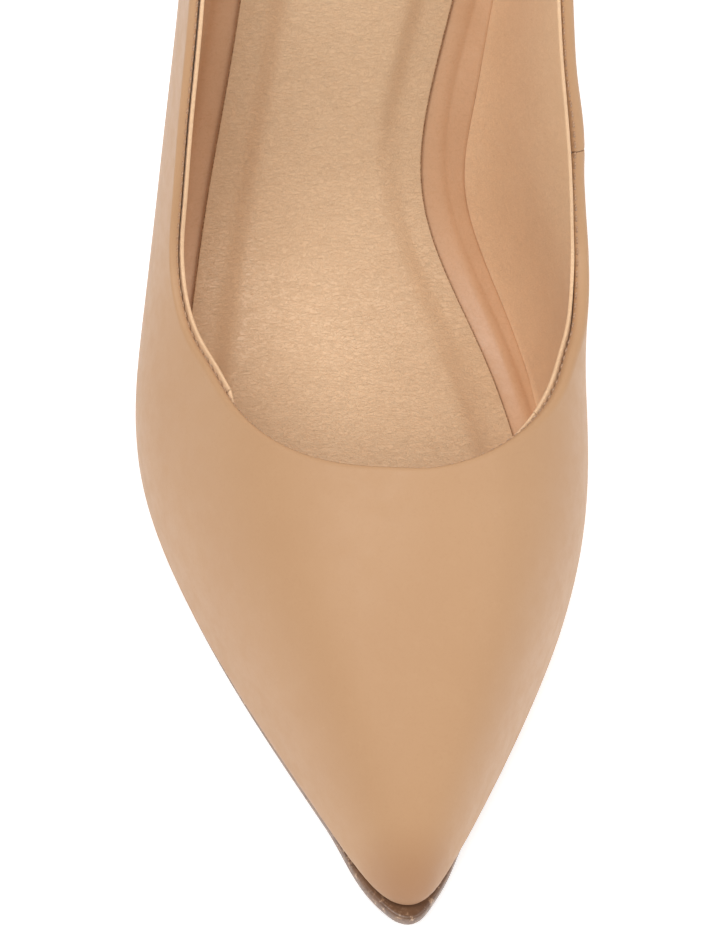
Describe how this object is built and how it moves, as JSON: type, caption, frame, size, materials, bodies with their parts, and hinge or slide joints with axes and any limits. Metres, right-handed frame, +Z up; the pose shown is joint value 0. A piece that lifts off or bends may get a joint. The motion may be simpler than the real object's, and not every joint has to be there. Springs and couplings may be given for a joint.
{
  "type": "high heel pump",
  "caption": "Pointed high heel pump shoe with a deep rounded throat, covered stiletto heel and leather sock; holds and raises a right foot.",
  "frame": {"origin": "centre of the top lift's ground face, under the heel", "axes": "+Z up, -Y towards the toe, +X towards the inner (medial) side of the foot"},
  "size_m": [0.0761, 0.2224, 0.1398],
  "materials": {
    "upper_leather": "smooth semi-matt nappa",
    "lining_leather": "fine-grained matt kid",
    "sock_leather": "crinkled matt leather",
    "insole_cover_leather": "smooth, slightly polished",
    "heel_leather": "smooth semi-matt nappa",
    "fibre_board": "matt pressed fibre",
    "stiffener": "matt non-woven",
    "foam": "matt latex foam",
    "thread": "twisted bonded nylon",
    "outsole": "satin",
    "heel_plastic": "moulded",
    "top_lift": "satin polyurethane",
    "steel": "plain"
  },
  "bodies": {
    "root": {"vamp": "upper_leather", "medial_quarter": "upper_leather", "vamp_lining": "lining_leather", "heel_lining": "lining_leather", "heel_counter": "stiffener", "toe_puff": "stiffener", "vamp_backer": "stiffener", "quarter_backer_medial": "stiffener", "quarter_backer_lateral": "stiffener", "topline_tape": "stiffener", "topline_thread": "thread", "side_seam_thread": "thread", "insole_board": "fibre_board", "shank_board": "fibre_board", "insole_cover": "insole_cover_leather", "sock_foam": "foam", "forepart_filler": "foam", "steel_shank": "steel", "outsole": "outsole", "heel_nails": "steel", "heel_screw": "steel", "shank_rivets": "steel", "top_lift_pin": "steel", "sock_lining": "sock_leather", "heel_block": "heel_plastic", "heel_cover": "heel_leather", "top_lift": "top_lift", "heel_tube": "steel"}
  },
  "joints": []
}
